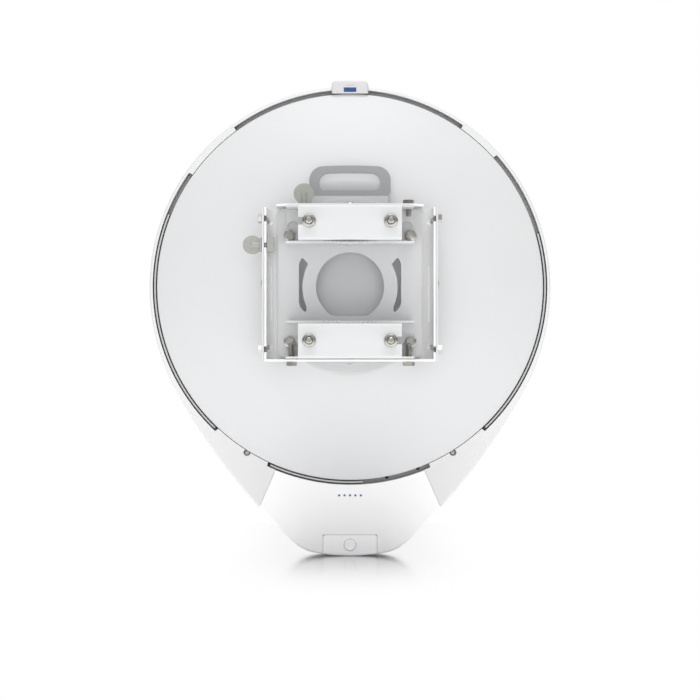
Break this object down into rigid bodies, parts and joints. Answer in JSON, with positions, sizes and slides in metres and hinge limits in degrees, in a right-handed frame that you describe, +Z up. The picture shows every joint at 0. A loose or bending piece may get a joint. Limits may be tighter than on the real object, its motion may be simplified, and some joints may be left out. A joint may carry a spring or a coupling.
{
  "type": "outdoor wireless bridge",
  "caption": "Round dish radio in a teardrop housing, with a carry handle, an azimuth and elevation bracket and a two-jaw pole clamp.",
  "frame": {"origin": "on the pole's axis, level with the dish's centre, midway between the two clamps", "axes": "+Z up along the pole, +Y the way the dish points, the pole clamp on the -Y side, +X to the right seen from behind the dish"},
  "size_m": [0.401, 0.276, 0.4749],
  "materials": {
    "bracket_paint": "white powder coat",
    "bolt_steel": "stainless, turned and pressed",
    "coin_steel": "matte bead-blasted stainless",
    "handle_grey": "fine moulded grain",
    "hub_grey": "fine moulded grain",
    "dish_white": "spun, white powder coat",
    "shell_white": "UV-stable satin white",
    "vial_blue": "tinted clear window",
    "light_blue": "light guide",
    "board_green": "solder mask",
    "bare_aluminium": "machined"
  },
  "bodies": {
    "pole_clamp": {"inner_jaw_upper": "bracket_paint", "inner_jaw_lower": "bracket_paint", "mount_plate": "bracket_paint", "clamp_bolt_upper_left": "bolt_steel", "clamp_bolt_upper_right": "bolt_steel", "clamp_bolt_lower_left": "bolt_steel", "clamp_bolt_lower_right": "bolt_steel", "corner_screw_upper_left": "bolt_steel", "corner_screw_upper_right": "bolt_steel", "corner_screw_lower_left": "bolt_steel", "corner_screw_lower_right": "bolt_steel", "azimuth_bolt_top_right": "bolt_steel", "azimuth_bolt_bottom_left": "bolt_steel", "azimuth_bolt_bottom_right": "bolt_steel", "azimuth_pivot_top": "bolt_steel", "azimuth_pivot_bottom": "bolt_steel"},
    "outer_clamp_upper": {"outer_jaw_upper": "bracket_paint", "flange_nut_upper_left": "bolt_steel", "flange_nut_upper_right": "bolt_steel"},
    "outer_clamp_lower": {"outer_jaw_lower": "bracket_paint", "flange_nut_lower_left": "bolt_steel", "flange_nut_lower_right": "bolt_steel"},
    "azimuth_knob": {"azimuth_thumbscrew": "coin_steel"},
    "azimuth_frame": {"gimbal_pan": "bracket_paint", "elevation_pivot_left": "bolt_steel", "elevation_pivot_right": "bolt_steel"},
    "dish_head": {"hub_yoke": "bracket_paint", "yoke_screw_upper_left": "bolt_steel", "yoke_screw_upper_right": "bolt_steel", "yoke_screw_lower_left": "bolt_steel", "yoke_screw_lower_right": "bolt_steel", "elevation_bolt_upper_left": "bolt_steel", "elevation_bolt_upper_right": "bolt_steel", "elevation_bolt_lower_left": "bolt_steel", "elevation_bolt_lower_right": "bolt_steel", "elevation_nut_block": "coin_steel", "hub_housing": "hub_grey", "carry_handle": "handle_grey", "dish_reflector": "dish_white", "rim_ring": "shell_white", "rear_shell": "shell_white", "radome_front": "shell_white", "shell_screw_left": "bolt_steel", "shell_screw_right": "bolt_steel", "pod_cover": "shell_white", "led_light_pipe": "light_blue", "main_board": "board_green", "ethernet_jack": "bare_aluminium", "gnss_cap": "shell_white", "gnss_module": "board_green", "level_vial": "vial_blue", "radio_board": "board_green", "feed_horn": "bare_aluminium", "subreflector": "bare_aluminium"},
    "elevation_knob": {"elevation_thumbscrew": "coin_steel"},
    "port_door_slide": {"port_door": "shell_white"},
    "latch": {"door_latch_button": "shell_white"}
  },
  "joints": [
    {"name": "upper_jaw_slide", "type": "slide", "parent": "pole_clamp", "child": "outer_clamp_upper", "axis": [0, 1, 0], "range_m": [-0.0115, 0.028]},
    {"name": "lower_jaw_slide", "type": "slide", "parent": "pole_clamp", "child": "outer_clamp_lower", "axis": [0, 1, 0], "range_m": [-0.0115, 0.028]},
    {"name": "azimuth_turn", "type": "hinge", "parent": "pole_clamp", "child": "azimuth_frame", "pos_m": [0, 0.052, 0], "axis": [0, 0, 1], "range_deg": [-7, 7]},
    {"name": "elevation_tilt", "type": "hinge", "parent": "azimuth_frame", "child": "dish_head", "pos_m": [0, 0.056, 0], "axis": [1, 0, 0], "range_deg": [-7, 7]},
    {"name": "azimuth_knob_turn", "type": "hinge", "parent": "pole_clamp", "child": "azimuth_knob", "pos_m": [-0.0439, 0.052, 0.076], "axis": [0, 0, 1], "continuous": true},
    {"name": "elevation_knob_turn", "type": "hinge", "parent": "dish_head", "child": "elevation_knob", "pos_m": [-0.084, 0.056, 0.0374], "axis": [1, 0, 0], "continuous": true},
    {"name": "port_door_open", "type": "slide", "parent": "dish_head", "child": "port_door_slide", "axis": [0, 0, -1], "range_m": [0, 0.022]},
    {"name": "latch_press", "type": "slide", "parent": "port_door_slide", "child": "latch", "axis": [0, 1, 0], "range_m": [0, 0.0015], "stiffness_N_per_m": 500, "springref_m": -0.001}
  ]
}
